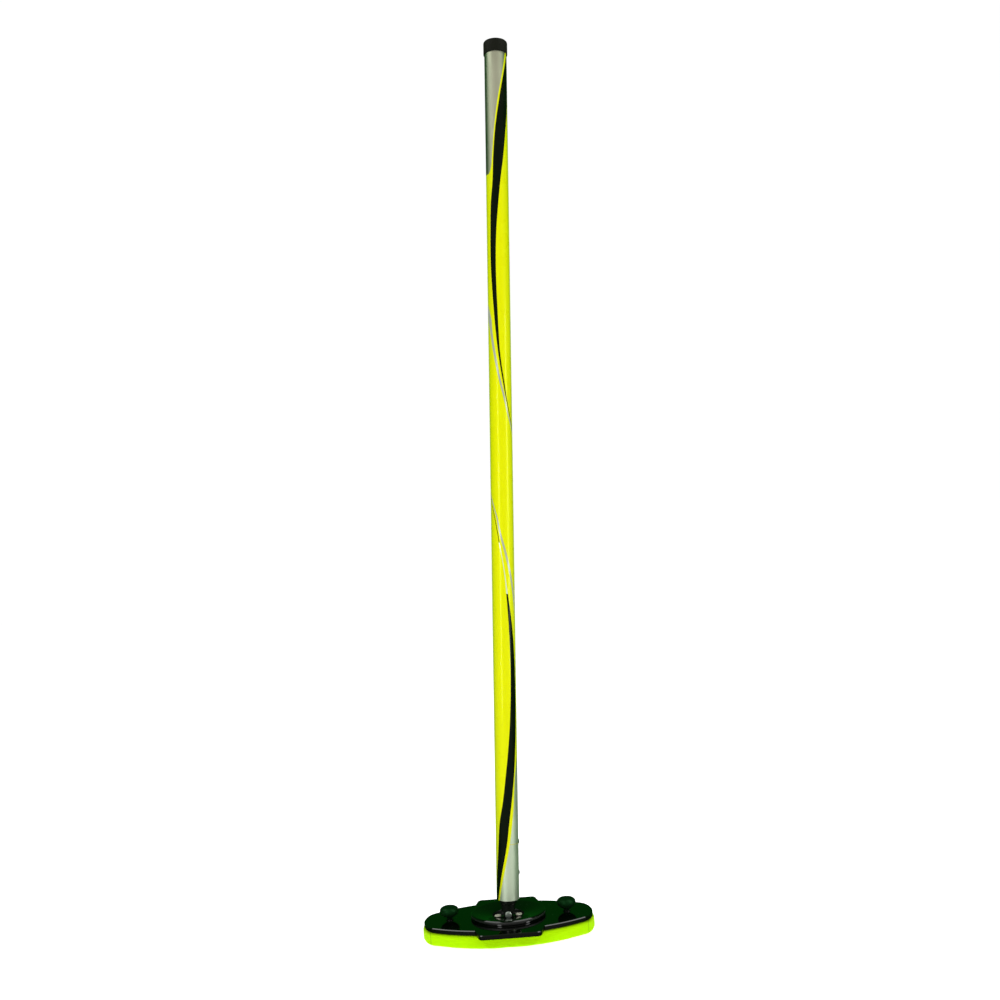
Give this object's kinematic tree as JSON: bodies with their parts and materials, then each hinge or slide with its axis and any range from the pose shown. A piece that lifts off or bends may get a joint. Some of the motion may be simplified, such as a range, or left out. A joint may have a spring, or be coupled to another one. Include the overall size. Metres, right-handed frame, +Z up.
{
  "type": "curling brush",
  "caption": "Curling brush with a straight round shaft, a swivelling and tilting hub, and a fabric pad clamped under a glossy plate by knobs.",
  "frame": {"origin": "centre of the fabric pad's flat underside, on the ice", "axes": "+Z up, along the swivel axis; +X along the head's length, towards the side the shaft leans to; +Y across the head"},
  "size_m": [0.219, 0.154, 1.1446],
  "materials": {
    "pad_fabric": "matt woven cloth, fluorescent yellow-green",
    "pad_foam": "matt foam",
    "board_plastic": "matt, moulded",
    "head_gloss": "high gloss black",
    "disc_gloss": "gloss black",
    "hub_plastic": "satin black",
    "knob_plastic": "satin black",
    "slide_plastic": "matt, natural",
    "steel": "bright zinc",
    "brass": "plain",
    "shaft_paint": "gloss lacquer: neon yellow with black and silver swooshes",
    "cap_rubber": "matt black"
  },
  "bodies": {
    "head": {"pad_cover": "pad_fabric", "pad_foam": "pad_foam", "pad_board": "board_plastic", "pad_insert_left": "brass", "pad_insert_right": "brass", "head_plate": "head_gloss", "bearing_ring": "disc_gloss"},
    "turntable": {"swivel_disc": "disc_gloss", "turntable_retainer": "slide_plastic", "pivot_lug": "hub_plastic", "lug_screw_left": "steel", "lug_screw_right": "steel"},
    "shaft": {"shaft_connector": "hub_plastic", "friction_washer_front": "slide_plastic", "friction_washer_back": "slide_plastic", "pivot_pin": "steel", "pivot_nut": "steel", "shaft_tube": "shaft_paint", "tube_rivet_lower": "steel", "tube_rivet_upper": "steel", "end_cap": "cap_rubber"},
    "washer_left": {"knob_washer_left": "hub_plastic"},
    "knob_left": {"clamp_knob_left": "knob_plastic", "knob_stud_left": "steel"},
    "washer_right": {"knob_washer_right": "hub_plastic"},
    "knob_right": {"clamp_knob_right": "knob_plastic", "knob_stud_right": "steel"}
  },
  "joints": [
    {"name": "head_swivel", "type": "hinge", "parent": "head", "child": "turntable", "pos_m": [0, 0, 0.0228], "axis": [0, 0, 1], "continuous": true},
    {"name": "shaft_tilt", "type": "hinge", "parent": "turntable", "child": "shaft", "pos_m": [0, 0, 0.0257], "axis": [0, 1, 0], "range_deg": [-53.1, 46.9]},
    {"name": "knob_turn_left", "type": "hinge", "parent": "head", "child": "washer_left", "pos_m": [-0.0745, 0, 0.0228], "axis": [0, 0, 1], "range_deg": [0, 1800]},
    {"name": "knob_lift_left", "type": "slide", "parent": "washer_left", "child": "knob_left", "axis": [0, 0, 1], "range_m": [0, 0.004]},
    {"name": "knob_turn_right", "type": "hinge", "parent": "head", "child": "washer_right", "pos_m": [0.0745, 0, 0.0228], "axis": [0, 0, 1], "range_deg": [0, 1800]},
    {"name": "knob_lift_right", "type": "slide", "parent": "washer_right", "child": "knob_right", "axis": [0, 0, 1], "range_m": [0, 0.004]}
  ],
  "couplings": [
    {"joint": "knob_lift_left", "follows": "knob_turn_left", "m_per_rad": 0.0001273},
    {"joint": "knob_lift_right", "follows": "knob_turn_right", "m_per_rad": 0.0001273}
  ]
}
